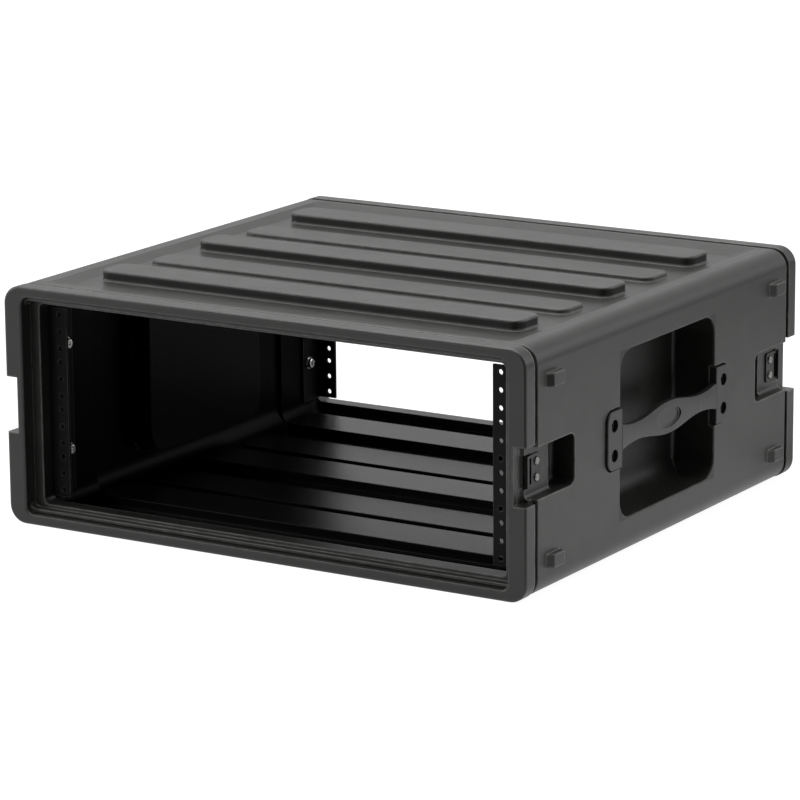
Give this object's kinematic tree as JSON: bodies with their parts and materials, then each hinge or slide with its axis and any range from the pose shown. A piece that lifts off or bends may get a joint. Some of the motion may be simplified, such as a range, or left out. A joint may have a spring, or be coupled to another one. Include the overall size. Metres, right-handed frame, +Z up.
{
  "type": "equipment rack case",
  "caption": "Moulded four-unit rack case open at front and rear, with drilled steel rails, latch recesses, stacking ribs and recessed side strap handles.",
  "frame": {"origin": "middle of the footprint, on the ground under the edge frames", "axes": "+Z up, -Y towards the front opening, +X towards the right side seen from the front"},
  "size_m": [0.559, 0.511, 0.2276],
  "materials": {
    "shell_plastic": "moulded polyethylene with a fine pebbled skin",
    "frame_plastic": "moulded plastic, slightly smoother than the shell",
    "rail_steel": "black powder coat",
    "keeper_steel": "black coated steel",
    "rivet_steel": "bright rivet heads",
    "bolt_steel": "zinc plated",
    "insert_brass": "knurled insert",
    "handle_rubber": "fine matt moulding",
    "screw_steel": "black oxide"
  },
  "bodies": {
    "case": {"body_shell": "shell_plastic", "front_edge_frame": "frame_plastic", "rear_edge_frame": "frame_plastic", "front_right_rack_rail": "rail_steel", "front_left_rack_rail": "rail_steel", "rear_right_rack_rail": "rail_steel", "rear_left_rack_rail": "rail_steel", "front_right_latch_keeper": "keeper_steel", "front_left_latch_keeper": "keeper_steel", "rear_right_latch_keeper": "keeper_steel", "rear_left_latch_keeper": "keeper_steel", "keeper_rivets": "rivet_steel", "rail_bolts": "bolt_steel", "rail_washers": "bolt_steel", "rail_inserts": "insert_brass", "right_handle_front_neck": "handle_rubber", "right_handle_front_plate": "handle_rubber", "right_handle_rear_neck": "handle_rubber", "right_handle_rear_plate": "handle_rubber", "left_handle_front_neck": "handle_rubber", "left_handle_front_plate": "handle_rubber", "left_handle_rear_neck": "handle_rubber", "left_handle_rear_plate": "handle_rubber", "handle_screws": "screw_steel", "handle_washers": "screw_steel", "handle_inserts": "insert_brass"},
    "right_grip": {"right_handle_grip": "handle_rubber"},
    "left_grip": {"left_handle_grip": "handle_rubber"}
  },
  "joints": [
    {"name": "right_handle_pull", "type": "slide", "parent": "case", "child": "right_grip", "axis": [1, 0, 0], "range_m": [0, 0.012], "stiffness_N_per_m": 600, "deforming": ["right_handle_front_neck", "right_handle_rear_neck"]},
    {"name": "left_handle_pull", "type": "slide", "parent": "case", "child": "left_grip", "axis": [-1, 0, 0], "range_m": [0, 0.012], "stiffness_N_per_m": 600, "deforming": ["left_handle_front_neck", "left_handle_rear_neck"]}
  ]
}
